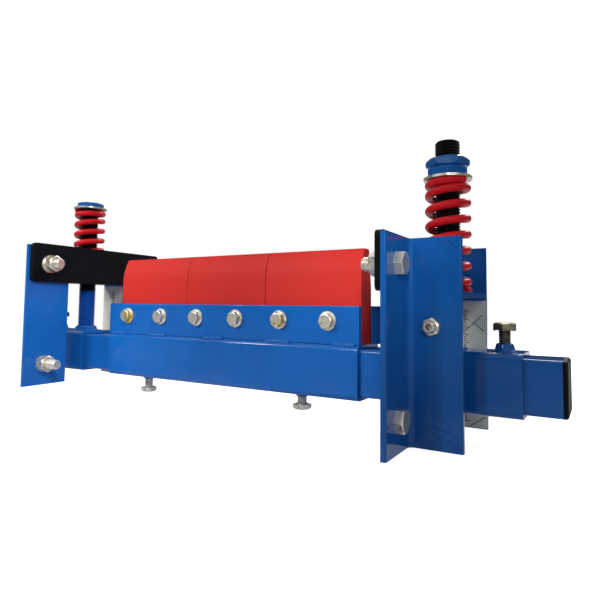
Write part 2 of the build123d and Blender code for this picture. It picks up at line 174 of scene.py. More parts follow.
# %% Make the rod's finish
paint_line = 176 * mm
line_wander = 4 * mm
rod_finish, tree, shader, place = start_finish("black oxide on threaded bar")
height = add(tree, "ShaderNodeSeparateXYZ", {"Vector": place}).outputs["Z"]
wander = add(tree, "ShaderNodeTexNoise", {"Vector": place, "Scale": 120, "Detail": 2})
line = add(tree, "ShaderNodeMath", {0: wander, 1: line_wander, 2: paint_line}, operation="MULTIPLY_ADD")
painted = add(tree, "ShaderNodeMath", {0: height, 1: line}, operation="LESS_THAN")
oil = add(tree, "ShaderNodeTexNoise", {"Vector": place, "Scale": 60, "Detail": 3})
oxide = add(tree, "ShaderNodeMix", {0: oil, 6: colour("#0A0B0B"), 7: colour("#151615")}, data_type="RGBA")
both = add(tree, "ShaderNodeMix", {0: painted, 6: oxide.outputs[2], 7: colour("#12489A")}, data_type="RGBA")
set_inputs(tree, shader, {
    "Base Color": both.outputs[2],
    "Roughness": add(tree, "ShaderNodeMapRange", {"Value": painted, "To Min": 0.5, "To Max": 0.3}),
    "Specular IOR Level": 0.2,
    "Specular Tint": black_reflection,
})
print("made", rod_finish.name)

# %% [markdown]
# ## Red powder coat
# Spring steel is shot-peened and powder coated. The coat is thick and glossy, and the peening under
# it leaves shallow dimples about 1.5 mm wide.

# %% Make the spring's finish
spring_coat, tree, shader, place = start_finish("polyester powder coat, red, glossy")
dimples = add(tree, "ShaderNodeTexNoise", {"Vector": place, "Scale": 650, "Detail": 1})
wide = add(tree, "ShaderNodeTexNoise", {"Vector": place, "Scale": 40, "Detail": 2})
reds = add(tree, "ShaderNodeMix", {0: wide, 6: colour("#C6131F"), 7: colour("#D8232E")}, data_type="RGBA")
set_inputs(tree, shader, {
    "Base Color": reds.outputs[2],
    "Roughness": 0.28,
    "Normal": add(tree, "ShaderNodeBump", {"Height": dimples, "Strength": 0.2, "Distance": 0.08 * mm}),
    "Specular IOR Level": 0.3,
    "Specular Tint": colour("#8C8C8C"),
})
print("made", spring_coat.name)

# %% [markdown]
# ## Cast polyurethane
# The blades are cast in an open mould from red polyurethane. It is a soft plastic with a dry, waxy
# skin: light goes in a millimetre or so and comes out again, and the skin has faint flow marks along
# the blade, about 200 mm long and 45 mm wide. Its fine grain is about 2 mm wide.

# %% Make the polyurethane
polyurethane, tree, shader, place = start_finish("cast polyurethane, red")
along = add(tree, "ShaderNodeMapping", {"Vector": place, "Scale": (5, 22, 22)})
flow = add(tree, "ShaderNodeTexNoise", {"Vector": along, "Scale": 1, "Detail": 3})
reds = add(tree, "ShaderNodeMix", {0: flow, 6: colour("#BE241F"), 7: colour("#CA2E27")}, data_type="RGBA")
skin = add(tree, "ShaderNodeTexNoise", {"Vector": place, "Scale": 500, "Detail": 2})
fine = add(tree, "ShaderNodeBump", {"Height": skin, "Normal": wavy(tree, place, 12, 0.06), "Strength": 0.2,
                                    "Distance": 0.05 * mm})
set_inputs(tree, shader, {
    "Base Color": reds.outputs[2],
    "Roughness": add(tree, "ShaderNodeMapRange", {"Value": flow, "To Min": 0.55, "To Max": 0.68}),
    "Normal": fine,
    "Specular IOR Level": 0.16,
    "Subsurface Weight": 0.06,
    "Subsurface Radius": (1.0, 0.25, 0.15),
    "Subsurface Scale": 1.5 * mm,
})
print("made", polyurethane.name)

# %% [markdown]
# ## Zinc plate, clear and yellow
# Stock fasteners are zinc plated and dipped in a passivate, clear on the frames and yellow on the
# blade holder. Both films are uneven. The yellow one runs from silver to straw from one bolt to the
# next, and the leftmost has most of it. Grey smears about 6 mm wide are painted on both, as painted
# dark reflections on the bright plate. The plate is only partly metallic, because a dull one keeps
# some of its own pale grey where it mirrors something dark. The grain of a zinc plate is too fine to
# show, so it is drawn about a millimetre wide.

# %% Make both zinc plates
def zinc_plate(name, far_tint, start, slope):
    """Zinc whose film tints by a noise, to which slope adds a change along the pole."""
    finish, tree, shader, place = start_finish(name)
    tint = add(tree, "ShaderNodeTexNoise", {"Vector": place, "Scale": 26, "Detail": 2})
    along = add(tree, "ShaderNodeSeparateXYZ", {"Vector": place}).outputs["X"]
    batch = add(tree, "ShaderNodeMath", {0: along, 1: slope, 2: tint}, operation="MULTIPLY_ADD")
    steeper = add(tree, "ShaderNodeMapRange", {"Value": batch, "From Min": start, "From Max": start + 0.16})
    film = add(tree, "ShaderNodeMix", {0: steeper, 6: colour("#D8D2C6"), 7: colour(far_tint)},
               data_type="RGBA")
    # The grey smears are painted dark reflections.
    streak_noise = add(tree, "ShaderNodeTexNoise", {"Vector": place, "Scale": 170, "Detail": 2, "Distortion": 1.2})
    painted_streaks = add(tree, "ShaderNodeMapRange", {"Value": streak_noise, "From Min": 0.56, "From Max": 0.68,
                                              "To Max": 0.6})
    film_and_streaks = add(tree, "ShaderNodeMix", {0: painted_streaks, 6: film.outputs[2], 7: colour("#54514B")},
                 data_type="RGBA")
    grain = add(tree, "ShaderNodeTexNoise", {"Vector": place, "Scale": 900, "Detail": 2})
    set_inputs(tree, shader, {
        "Base Color": film_and_streaks.outputs[2],
        "Roughness": add(tree, "ShaderNodeMapRange", {"Value": tint, "To Min": 0.22, "To Max": 0.38}),
        "Normal": add(tree, "ShaderNodeBump", {"Height": grain, "Strength": 0.25, "Distance": 0.03 * mm}),
        "Metallic": 0.7,
    })
    return finish


clear_zinc = zinc_plate("zinc plate, clear passivate", "#BDB08C", 0.6, 0.0)
yellow_zinc = zinc_plate("zinc plate, yellow passivate", "#D2BB66", 0.56, -0.35)
print("made", clear_zinc.name, "and", yellow_zinc.name)

# %% [markdown]
# ## Bare steel
# The set screws of the sleeves have lost their plating. Bare steel that has been handled goes
# brown-grey and dull. Patches about 14 mm wide are painted a lighter straw yellow and made
# glossier; they are a painted glint.

# %% Make the bare steel
bare_steel, tree, shader, place = start_finish("bare steel, tarnished")
glint_noise = add(tree, "ShaderNodeTexNoise", {"Vector": place, "Scale": 70, "Detail": 3})
# The lighter straw-yellow patches are a painted glint.
glint_patches = add(tree, "ShaderNodeMapRange", {"Value": glint_noise, "From Min": 0.5, "From Max": 0.7})
browns_and_glints = add(tree, "ShaderNodeMix", {0: glint_patches, 6: colour("#55504B"), 7: colour("#8F8B70")},
             data_type="RGBA")
set_inputs(tree, shader, {
    "Base Color": browns_and_glints.outputs[2],
    "Roughness": add(tree, "ShaderNodeMapRange", {"Value": glint_patches, "To Min": 0.5, "To Max": 0.3}),
    "Metallic": 1.0,
})
print("made", bare_steel.name)

# %% [markdown]
# ## Brushed aluminium and its black print
# The scale plates are thin aluminium, brushed lengthways and dulled by handling. The brushing is a
# noise drawn out along Z, so that its streaks run up and down. Real brush marks are too fine to show,
# so they are drawn about a millimetre wide and 70 mm long. The graduations are printed in black.

# %% Make the aluminium and the print
brushed, tree, shader, place = start_finish("brushed aluminium, dull")
streaks = add(tree, "ShaderNodeMapping", {"Vector": place, "Scale": (900, 900, 14)})
lines = add(tree, "ShaderNodeTexNoise", {"Vector": streaks, "Scale": 1, "Detail": 2})
greys = add(tree, "ShaderNodeMix", {0: lines, 6: colour("#D6D5C4"), 7: colour("#E2E0D0")}, data_type="RGBA")
set_inputs(tree, shader, {
    "Base Color": greys.outputs[2],
    "Roughness": 0.5,
    "Normal": add(tree, "ShaderNodeBump", {"Height": lines, "Strength": 0.2, "Distance": 0.03 * mm}),
    "Metallic": 0.15,
})

print_black, tree, shader, place = start_finish("screen print, black")
spots = add(tree, "ShaderNodeTexNoise", {"Vector": place, "Scale": 700, "Detail": 2})
inks = add(tree, "ShaderNodeMix", {0: spots, 6: colour("#0D0E10"), 7: colour("#232428")}, data_type="RGBA")
set_inputs(tree, shader, {"Base Color": inks.outputs[2], "Roughness": 0.6})
print("made", brushed.name, "and", print_black.name)

# %% [markdown]
# ## Moulded polyethylene
# The plugs in the pole's ends are injection moulded from black polyethylene with a spark-eroded texture,
# which makes them matt and a little grey on the face that looks at the light. The real texture is too
# fine to show, so it is drawn a little over a millimetre wide.

# %% Make the polyethylene
polyethylene, tree, shader, place = start_finish("polyethylene, black, moulded")
spark = add(tree, "ShaderNodeTexNoise", {"Vector": place, "Scale": 800, "Detail": 3})
blacks = add(tree, "ShaderNodeMix", {0: spark, 6: colour("#0B0C0E"), 7: colour("#1B1C1F")}, data_type="RGBA")
set_inputs(tree, shader, {
    "Base Color": blacks.outputs[2],
    "Roughness": 0.55,
    "Normal": add(tree, "ShaderNodeBump", {"Height": spark, "Strength": 0.4, "Distance": 0.06 * mm}),
    "Specular IOR Level": 0.3,
    "Specular Tint": black_reflection,
})
print("made", polyethylene.name)

# %% [markdown]
# ## Dress the CAD solids
# A solid whose shape is right keeps its mesh and only gets its finish. The record already says which
# material slot each node has, so one table from slot to finish dresses them all.

# %% Put the finishes on the solids
finish_of_slot = {
    "blue_paint": blue_enamel,
    "black_plate": black_enamel,
    "black_rod": rod_finish,
    "red_spring": spring_coat,
    "red_polyurethane": polyurethane,
    "zinc_fastener": clear_zinc,
    "scale_aluminium": brushed,
    "black_plastic": polyethylene,
}
for entry in frame["record"]["subparts"]:
    solid = nodes[entry["node"]]
    solid.data.materials.clear()
    solid.data.materials.append(finish_of_slot[entry["material_slot"]])

# %% [markdown]
# ## How the repeated pieces are made
# Threads, springs, welds and rows of bolts repeat, so Geometry Nodes make them. A tree gets its sizes
# through named inputs and ends in real geometry. A few points, or a line, say where it goes. The
# result is then read out as a plain mesh that rides on its CAD body.

# %% Helpers for the geometry trees
def start_tree(name, **inputs):
    """A geometry tree with named inputs, and its input and output nodes."""
    tree = bpy.data.node_groups.new(name, "GeometryNodeTree")
    tree.interface.new_socket("Geometry", in_out="INPUT", socket_type="NodeSocketGeometry")
    for key, kind in inputs.items():
        tree.interface.new_socket(key, in_out="INPUT", socket_type="NodeSocket" + kind)
    tree.interface.new_socket("Geometry", in_out="OUTPUT", socket_type="NodeSocketGeometry")
    return tree, add(tree, "NodeGroupInput").outputs, add(tree, "NodeGroupOutput")


def around_axis(tree, radius, angle, height):
    """A place at an angle around the Z axis."""
    cosine = add(tree, "ShaderNodeMath", {0: angle}, operation="COSINE")
    sine = add(tree, "ShaderNodeMath", {0: angle}, operation="SINE")
    x = add(tree, "ShaderNodeMath", {0: radius, 1: cosine}, operation="MULTIPLY")
    y = add(tree, "ShaderNodeMath", {0: radius, 1: sine}, operation="MULTIPLY")
    return add(tree, "ShaderNodeCombineXYZ", {0: x, 1: y, 2: height})


def cut_off(tree, height, length):
    """A height that is kept between 0 and length."""
    below_top = add(tree, "ShaderNodeMath", {0: height, 1: length}, operation="MINIMUM")
    return add(tree, "ShaderNodeMath", {0: below_top, 1: 0}, operation="MAXIMUM")


def close_tree(tree, geometry, finish, out, smooth=True):
    """Turns what is there into real geometry with its finish, as the export needs."""
    real = add(tree, "GeometryNodeRealizeInstances", {0: geometry})
    if smooth:
        real = add(tree, "GeometryNodeSetShadeSmooth", {0: real})
    done = add(tree, "GeometryNodeSetMaterial", {"Geometry": real, "Material": finish})
    set_inputs(tree, out, {"Geometry": done})


def grow(name, tree, body, slot, points, edges=(), **values):
    """Runs a tree on some points or lines and keeps the result as a plain piece on its body."""
    mesh = bpy.data.meshes.new(name + "_seed")
    mesh.from_pydata([Vector(p) for p in points], list(edges), [])
    seed = bpy.data.objects.new(name + "_seed", mesh)
    bpy.context.scene.collection.objects.link(seed)
    modifier = seed.modifiers.new("grow", "NODES")
    modifier.node_group = tree
    sockets = {item.name: item.identifier for item in tree.interface.items_tree if item.in_out == "INPUT"}
    for key, value in values.items():
        modifier[sockets[key]] = value
    graph = bpy.context.evaluated_depsgraph_get()
    piece = bpy.data.objects.new(name, bpy.data.meshes.new_from_object(seed.evaluated_get(graph)))
    bpy.context.scene.collection.objects.link(piece)
    bpy.data.objects.remove(seed)
    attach(piece, body)
    print(name, len(piece.data.polygons), "faces")
    return piece


# %% [markdown]
# ## The threaded rods
# A screw thread is a ridge that climbs one pitch for each turn. It can be made from a flat grid:
# across the grid runs the angle, up it runs the height, and every row is tilted by one pitch so that
# it meets the row four further up where the grid closes. Two rows in four lie on the crest and two in
# the root. Heights are cut off at both ends, and the ends are chamfered.

# %% The thread tree: the grid and the height of each point
rows_per_turn = 4
t, ins, out = start_tree("screw thread", Radius="Float", Depth="Float", Pitch="Float", Length="Float",
                         Sides="Int", Finish="Material")
thread_tree = t
thread_turns = add(t, "ShaderNodeMath", {0: ins["Length"], 1: ins["Pitch"]}, operation="DIVIDE")
all_turns = add(t, "ShaderNodeMath", {0: thread_turns, 1: 2}, operation="ADD")
all_rows = add(t, "ShaderNodeMath", {0: all_turns, 1: rows_per_turn}, operation="MULTIPLY")
rows = add(t, "ShaderNodeMath", {0: all_rows}, operation="CEIL")
points_across = add(t, "ShaderNodeMath", {0: ins["Sides"], 1: 1}, operation="ADD")
points_up = add(t, "ShaderNodeMath", {0: rows, 1: 1}, operation="ADD")
grid = add(t, "GeometryNodeMeshGrid", {"Size X": 1, "Size Y": rows, "Vertices X": points_across,
                                       "Vertices Y": points_up})
here = add(t, "ShaderNodeSeparateXYZ", {0: add(t, "GeometryNodeInputPosition")}).outputs
share = add(t, "ShaderNodeMath", {0: here["X"], 1: 0.5}, operation="ADD")
half_rows = add(t, "ShaderNodeMath", {0: rows, 1: 2}, operation="DIVIDE")
row = add(t, "ShaderNodeMath", {0: here["Y"], 1: half_rows}, operation="ADD")
turn_of_row = add(t, "ShaderNodeMath", {0: row, 1: rows_per_turn}, operation="DIVIDE")
turns_up = add(t, "ShaderNodeMath", {0: turn_of_row, 1: 1}, operation="SUBTRACT")
tilted = add(t, "ShaderNodeMath", {0: turns_up, 1: share}, operation="ADD")
climb = add(t, "ShaderNodeMath", {0: tilted, 1: ins["Pitch"]}, operation="MULTIPLY")
level = cut_off(t, climb, ins["Length"])
print("height worked out with", len(t.nodes), "nodes")

# %% The thread tree: crest, root and chamfer
between_rows = add(t, "ShaderNodeMath", {0: row, 1: 0.1}, operation="ADD")
row_in_turn = add(t, "ShaderNodeMath", {0: between_rows, 1: rows_per_turn}, operation="MODULO")
in_root = add(t, "ShaderNodeMath", {0: row_in_turn, 1: 2}, operation="GREATER_THAN")
cut = add(t, "ShaderNodeMath", {0: in_root, 1: ins["Depth"]}, operation="MULTIPLY")
ridge = add(t, "ShaderNodeMath", {0: ins["Radius"], 1: cut}, operation="SUBTRACT")
core = add(t, "ShaderNodeMath", {0: ins["Radius"], 1: ins["Depth"]}, operation="SUBTRACT")
from_top = add(t, "ShaderNodeMath", {0: ins["Length"], 1: level}, operation="SUBTRACT")
from_end = add(t, "ShaderNodeMath", {0: level, 1: from_top}, operation="MINIMUM")
chamfer = add(t, "ShaderNodeMath", {0: core, 1: from_end}, operation="ADD")
radius = add(t, "ShaderNodeMath", {0: ridge, 1: chamfer}, operation="MINIMUM")
angle = add(t, "ShaderNodeMath", {0: share, 1: 2 * pi}, operation="MULTIPLY")
spot = around_axis(t, radius, angle, level)
wound = add(t, "GeometryNodeSetPosition", {"Geometry": grid, "Position": spot})
print("winding worked out with", len(t.nodes), "nodes")

# %% The thread tree: both ends
merge_distance = 0.002 * mm
disc = add(t, "GeometryNodeMeshCircle", {"Vertices": ins["Sides"], "Radius": core}, fill_type="NGON")
lift = add(t, "ShaderNodeCombineXYZ", {2: ins["Length"]})
top = add(t, "GeometryNodeTransform", {0: disc, "Translation": lift})
foot = add(t, "GeometryNodeFlipFaces", {0: disc})
whole = add(t, "GeometryNodeJoinGeometry", {0: wound})
set_inputs(t, whole, {0: top})
set_inputs(t, whole, {0: foot})
closed = add(t, "GeometryNodeMergeByDistance", {0: whole, "Distance": merge_distance})
copies = add(t, "GeometryNodeInstanceOnPoints", {"Points": ins["Geometry"], "Instance": closed})
close_tree(t, copies, ins["Finish"], out)
print("thread tree has", len(t.nodes), "nodes")

# %% Thread both rods
rod_x = 340 * mm
rod_radius = 14.8 * mm
ends = {"left": -1, "right": 1}
for end, sign in ends.items():
    low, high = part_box(f"lifting_rod_{end}")
    rod = grow(f"threaded_rod_{end}", thread_tree, f"carriage_{end}", "black_rod", [(sign * rod_x, 0, low.z)],
               Radius=rod_radius, Depth=1.5 * mm, Pitch=3.5 * mm, Length=high.z - low.z, Sides=40,
               Finish=rod_finish)
    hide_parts(f"lifting_rod_{end}")

# %% [markdown]
# ## The coil springs
# A compression spring is one round wire on a helix. In the last turn at each end the pitch closes up
# until the wire touches itself, and the outermost part is ground flat so that the spring stands
# straight. The tree puts the points of a line on that path, sweeps a circle along it, and cuts the
# heights off at both ground faces.

# %% The spring tree: how far the wire has climbed at each point
steps_per_turn = 48
t, ins, out = start_tree("coil spring", Coil="Float", Wire="Float", Turns="Float", Pitch="Float",
                         End_Pitch="Float", Ground="Float", Length="Float", Start="Float", Finish="Material")
spring_tree = t
all_turns = add(t, "ShaderNodeMath", {0: ins["Turns"], 1: 2}, operation="ADD")
steps = add(t, "ShaderNodeMath", {0: all_turns, 1: steps_per_turn}, operation="MULTIPLY")
count = add(t, "ShaderNodeMath", {0: steps, 1: 1}, operation="ADD")
path = add(t, "GeometryNodeMeshLine", {"Count": count})
number = add(t, "GeometryNodeInputIndex")
turn = add(t, "ShaderNodeMath", {0: number, 1: steps_per_turn}, operation="DIVIDE")
first = add(t, "ShaderNodeMath", {0: turn, 1: 1}, operation="MINIMUM")
last_starts = add(t, "ShaderNodeMath", {0: ins["Turns"], 1: 1}, operation="ADD")
past_start = add(t, "ShaderNodeMath", {0: turn, 1: last_starts}, operation="SUBTRACT")
last = add(t, "ShaderNodeMath", {0: past_start, 1: 0}, operation="MAXIMUM")
after_first = add(t, "ShaderNodeMath", {0: turn, 1: first}, operation="SUBTRACT")
free = add(t, "ShaderNodeMath", {0: after_first, 1: last}, operation="SUBTRACT")
both_ends = add(t, "ShaderNodeMath", {0: first, 1: last}, operation="ADD")
closing = add(t, "ShaderNodeMath", {0: both_ends, 1: ins["End_Pitch"]}, operation="MULTIPLY")
opening = add(t, "ShaderNodeMath", {0: free, 1: ins["Pitch"]}, operation="MULTIPLY")
climb = add(t, "ShaderNodeMath", {0: closing, 1: opening}, operation="ADD")
level = add(t, "ShaderNodeMath", {0: climb, 1: ins["Ground"]}, operation="ADD")
print("climb worked out with", len(t.nodes), "nodes")

# %% The spring tree: the wire and its ground ends
full_angle = add(t, "ShaderNodeMath", {0: turn, 1: 2 * pi}, operation="MULTIPLY")
angle = add(t, "ShaderNodeMath", {0: ins["Start"], 1: full_angle}, operation="ADD")
spot = around_axis(t, ins["Coil"], angle, level)
helix = add(t, "GeometryNodeSetPosition", {"Geometry": path, "Position": spot})
line = add(t, "GeometryNodeMeshToCurve", {0: helix})
ring = add(t, "GeometryNodeCurvePrimitiveCircle", {"Resolution": 20, "Radius": ins["Wire"]})
wire = add(t, "GeometryNodeCurveToMesh", {"Curve": line, "Profile Curve": ring, "Fill Caps": True})
here = add(t, "ShaderNodeSeparateXYZ", {0: add(t, "GeometryNodeInputPosition")}).outputs
flat = cut_off(t, here["Z"], ins["Length"])
spot = add(t, "ShaderNodeCombineXYZ", {0: here["X"], 1: here["Y"], 2: flat})
ground = add(t, "GeometryNodeSetPosition", {"Geometry": wire, "Position": spot})
copies = add(t, "GeometryNodeInstanceOnPoints", {"Points": ins["Geometry"], "Instance": ground})
close_tree(t, copies, ins["Finish"], out)
print("spring tree has", len(t.nodes), "nodes")

# %% Wind both springs
spring_length = {"left": 135.5 * mm, "right": 138.5 * mm}
coil_start = {"left": -130, "right": -22}
free_turns = 6.0
end_pitch = 9 * mm
ground_off = 2.5 * mm
for end, sign in ends.items():
    seat = (sign * rod_x, 0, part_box(f"coil_spring_{end}")[0].z)
    length = spring_length[end]
    pitch = (length - 2 * (end_pitch + ground_off)) / free_turns
    spring = grow(f"wound_spring_{end}", spring_tree, f"frame_{end}", "red_spring", [seat],
                  Coil=22.5 * mm, Wire=5 * mm, Turns=free_turns, Pitch=pitch, End_Pitch=end_pitch,
                  Ground=ground_off, Length=length, Start=radians(coil_start[end]), Finish=spring_coat)
    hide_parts(f"coil_spring_{end}")
    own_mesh(spring)

# %% [markdown]
# ## The blades
# Each blade is a cast block: upright where it is clamped, bent gently back above, with a thinner tip.
# Casting rounds every edge, and the little grooves between the blades show it. So a blade is drawn as
# its side profile, drawn out to its width, and given a small Bevel.

# %% Helpers for a drawn shape
corner_angle = radians(25)


def to_object(name, shape, finish=None):
    """Turns a bmesh into an object of the scene, with its finish."""
    mesh = bpy.data.meshes.new(name)
    shape.to_mesh(mesh)
    shape.free()
    if finish:
        mesh.materials.append(finish)
    item = bpy.data.objects.new(name, mesh)
    bpy.context.scene.collection.objects.link(item)
    return item


def bevel(item, name, width, segments):
    """Rounds the edges of an object where it turns by more than corner_angle."""
    rounding = item.modifiers.new(name, "BEVEL")
    rounding.width = width
    rounding.segments = segments
    rounding.angle_limit = corner_angle
    return rounding


# %% Cast the three blades
tube_top = 105 * mm
front, back = -22.5 * mm, 9.5 * mm
tip_front, tip_back, tip_z = -11.5 * mm, 2.5 * mm, 231 * mm
bend_z, knee_z = 193 * mm, 181 * mm
curve_steps = 12
curve = []
for i in range(curve_steps + 1):
    rise = i / curve_steps
    curve.append((front + (tip_front - front) * rise * rise, bend_z + (tip_z - bend_z) * rise))
profile = [(back, tube_top), (front, tube_top)] + curve + [(tip_back, tip_z), (back, knee_z)]


def cast_blade(name):
    """One blade in the place of its CAD solid."""
    low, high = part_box(f"blade_{name}")
    shape = bmesh.new()
    left = [shape.verts.new((low.x, y, z)) for y, z in profile]
    right = [shape.verts.new((high.x, y, z)) for y, z in profile]
    shape.faces.new(left)
    shape.faces.new(right[::-1])
    for i in range(len(profile)):
        j = (i + 1) % len(profile)
        shape.faces.new((left[j], left[i], right[i], right[j]))
    bmesh.ops.recalc_face_normals(shape, faces=shape.faces)
    blade = to_object(f"cast_blade_{name}", shape, polyurethane)
    blade.data.shade_smooth()
    bevel(blade, "cast edges", 1.4 * mm, 3).harden_normals = True
    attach(blade, "blade_holder")
    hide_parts(f"blade_{name}")
    return blade


for name in ("left", "middle", "right"):
    print(cast_blade(name).name, len(profile), "points in its profile")

# %% [markdown]
# ## Turned hexagon fasteners
# A bolt or nut starts as a hexagon bar and is turned: a cone takes the corners off the ends, and a
# flange or a shank is turned round. So one function makes them all, from rows of radius and height.
# On a hexagon row, the radius stops at the flats. Rows that alternate between crest and root
# make the short pieces of thread that show. A small Bevel breaks the edges.

# %% Turn one fastener
sides = 48
templates = []


def turned(name, rows, flats=0.0, face=0.0, bored=False, edge=0.3):
    """rows are (radius, height, hexagonal) in mm; face is the radius of the turned round face."""
    shape = bmesh.new()
    rings = []
    for radius, height, hexagonal in rows:
        ring = []
        for i in range(sides):
            around = 2 * pi * i / sides
            limit = flats / 2 / cos(around % (pi / 3) - pi / 6)
            reach = min(radius, limit) if hexagonal else radius
            drop = hexagonal * max(0.0, reach - face) * tan(radians(30))
            ring.append(shape.verts.new((reach * cos(around) * mm, reach * sin(around) * mm,
                                         (height - drop) * mm)))
        rings.append(ring)
    pairs = list(zip(rings, rings[1:]))
    if bored:
        pairs.append((rings[-1], rings[0]))
    else:
        shape.faces.new(rings[0][::-1])
        shape.faces.new(rings[-1])
    for lower, upper in pairs:
        for i in range(sides):
            j = (i + 1) % sides
            shape.faces.new((lower[i], lower[j], upper[j], upper[i]))
    bmesh.ops.recalc_face_normals(shape, faces=shape.faces)
    piece = to_object(name, shape)
    piece.data.set_sharp_from_angle(angle=corner_angle)
    bevel(piece, "broken edges", edge * mm, 2)
    templates.append(piece)
    return piece


def thread_rows(radius, low, high, pitch, depth):
    """Rows of crest and root from one height to another, in mm."""
    rows = []
    height = low
    while height < high - pitch / 2:
        rows += [(radius - depth, height, 0), (radius, height + pitch / 2, 0)]
        height += pitch
    return rows


# %% Templates for the blades' bolts and nuts
def flange_rows(height):
    """The flange and the hexagon above it, for the M12 bolt or nut of a blade."""
    return [(12.6, 0, 0), (13, 0.4, 0), (13, 1.1, 0), (10.6, 3.0, 0), (10.4, 3.2, 1),
            (10.4, height, 1), (8.4, height, 1)]


flange_bolt = turned("flange_bolt", [(5.0, -64, 0), *thread_rows(6, -63, -48, 1.75, 0.8), (6, -47, 0),
                                     (6, 0, 0), *flange_rows(9)], flats=18, face=8.4)
flange_nut = turned("flange_nut", [(6.1, 0, 0), *flange_rows(11), (6.1, 11, 0)],
                    flats=18, face=8.4, bored=True)
print("templates:", flange_bolt.name, "and", flange_nut.name)


# %% Templates for the frame bolts
def hex_bolt(name, radius, length, thread_end, pitch, flats, head, turned_share=0.95):
    """A hexagon bolt or set screw, threaded from its tip up to thread_end."""
    depth = 0.45 * pitch
    corner = flats / 2 / cos(pi / 6)
    face = flats / 2 * turned_share
    chamfer = radius / 6
    rows = [(radius - chamfer, -length, 0),
            *thread_rows(radius, chamfer - length, thread_end, pitch, depth),
            (radius, thread_end, 0), (radius, 0, 0), (face, 0, 0),
            (corner, 0.1, 1), (corner, head, 1), (face, head, 1)]
    return turned(name, rows, flats=flats, face=face)


def m16_bolt(length, thread_end):
    """An M16 frame bolt with a head of 24 mm across flats, 10 mm high."""
    return hex_bolt(f"frame_bolt_{length}", 8, length, thread_end, 2, 24, 10)


lower_bolt, upper_bolt = 35, 201
left_bolt = m16_bolt(45, -20)
frame_bolts = {
    "left": {lower_bolt: left_bolt, upper_bolt: left_bolt},
    "right": {lower_bolt: m16_bolt(16, -1), upper_bolt: m16_bolt(40, -20)},
}
print("templates so far:", [template.name for template in templates])

# %% The row tree: one template on every point, each turned by its own angle
t, ins, out = start_tree("row of fasteners", Shape="Object", Aim="Rotation", Turn="Float", Wander="Float",
                         Seed="Int", Finish="Material")
row_tree = t
shape = add(t, "GeometryNodeObjectInfo", {"Object": ins["Shape"]}).outputs["Geometry"]
copies = add(t, "GeometryNodeInstanceOnPoints", {"Points": ins["Geometry"], "Instance": shape,
                                                "Rotation": ins["Aim"]})
spin = add(t, "FunctionNodeRandomValue", {3: ins["Wander"], "Seed": ins["Seed"]}, data_type="FLOAT")
angle = add(t, "ShaderNodeMath", {0: spin.outputs[1], 1: ins["Turn"]}, operation="ADD")
about = add(t, "ShaderNodeCombineXYZ", {2: angle})
turned_on = add(t, "GeometryNodeRotateInstances", {0: copies, "Rotation": about, "Local Space": True})
close_tree(t, turned_on, ins["Finish"], out, smooth=False)
print("row tree has", len(t.nodes), "nodes")

# %% Place the bolts and nuts of the blades
blade_bolt_pitch = 76
blade_bolt_z = 135 * mm
bar_front, bar_rear = -30.5 * mm, 17.5 * mm
bolt_xs = [blade_bolt_pitch * (i - 2.5) * mm for i in range(6)]
front_row = [(x, bar_front, blade_bolt_z) for x in bolt_xs]
bolts = grow("blade_flange_bolts", row_tree, "blade_holder", "zinc_fastener", front_row,
             Shape=flange_bolt, Aim=(pi / 2, 0, 0), Wander=pi / 3, Seed=4, Finish=yellow_zinc)
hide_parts("blade_bolts")
rear_row = [(x, bar_rear, blade_bolt_z) for x in bolt_xs]
nuts = grow("blade_flange_nuts", row_tree, "blade_holder", "zinc_fastener", rear_row,
            Shape=flange_nut, Aim=(-pi / 2, 0, 0), Wander=pi / 3, Seed=8, Finish=yellow_zinc)
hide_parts("blade_nuts")

# %% Place the frame bolts
frame_foot = {"left": 19 * mm, "right": 0.0}
flange_x = 313 * mm
frame_bolt_y = 105 * mm
for end, sign in ends.items():
    for height, kind in frame_bolts[end].items():
        z = frame_foot[end] + height * mm
        pair = [(sign * flange_x, y, z) for y in (-frame_bolt_y, frame_bolt_y)]
        bolts = grow(f"frame_hex_bolts_{end}_{height}", row_tree, f"frame_{end}", "zinc_fastener", pair,
                     Shape=kind, Aim=(0, sign * pi / 2, 0), Turn=pi / 6, Wander=0.15, Seed=11 + height,
                     Finish=clear_zinc)
        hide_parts(f"frame_bolts_{end}")

# %% Place the set screws
# For each: its body, its X, its seat's height and its head's, all in mm, how it is tipped, its finish
holder_screw_x = {"left": -168, "right": 135}
set_screws = {
    "sleeve_set_screw_left": ("sleeve_screw_left", -412, 130, 7.7, 0, bare_steel),
    "sleeve_set_screw_right": ("sleeve_screw_right", 403.5, 130, 7.7, 0, bare_steel),
    "holder_set_screw_left": ("holder_screw_left", holder_screw_x["left"], 13, 5.8, pi, yellow_zinc),
    "holder_set_screw_right": ("holder_screw_right", holder_screw_x["right"], 16.5, 5.8, pi, yellow_zinc),
}
pole_bottom, pole_top, tip_gap = 40, 100, 0.1
for node, (body, x, seat, head, tip_over, finish) in set_screws.items():
    pole_face = pole_top + tip_gap if seat > pole_top else pole_bottom - tip_gap
    kind = hex_bolt(f"{node}_shape", 6.8, abs(seat - pole_face), -1, 2, 23, head, 0.85)
    screw = grow(f"{node}_turned", row_tree, body, "zinc_fastener", [(x * mm, 0, seat * mm)],
                 Shape=kind, Aim=(tip_over, 0, 0), Turn=radians(-30), Seed=3, Finish=finish)
    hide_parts(node)

# %% [markdown]
# ## Nuts with two chamfers, and the grub screws
# The thin nuts on the rods wear thick paint, which softens their corners. Both ends of a nut are
# chamfered, so its first hexagon row has the flag -1, which bends the lower cone upwards instead. The
# lock nuts are made in the same way. A grub screw ends in two rows that go back down inside it, and
# these are its hexagon socket.

# %% Run the thin nuts down the rods
def chamfered_nut(name, bore, face, corner, height, flats, edge):
    """A nut with a cone at both ends, in mm."""
    rows = [(bore, 0, 0), (face, 0, 0), (corner, 0, -1),
            (corner, height, 1), (face, height, 0), (bore, height, 0)]
    return turned(name, rows, flats=flats, face=face, bored=True, edge=edge)


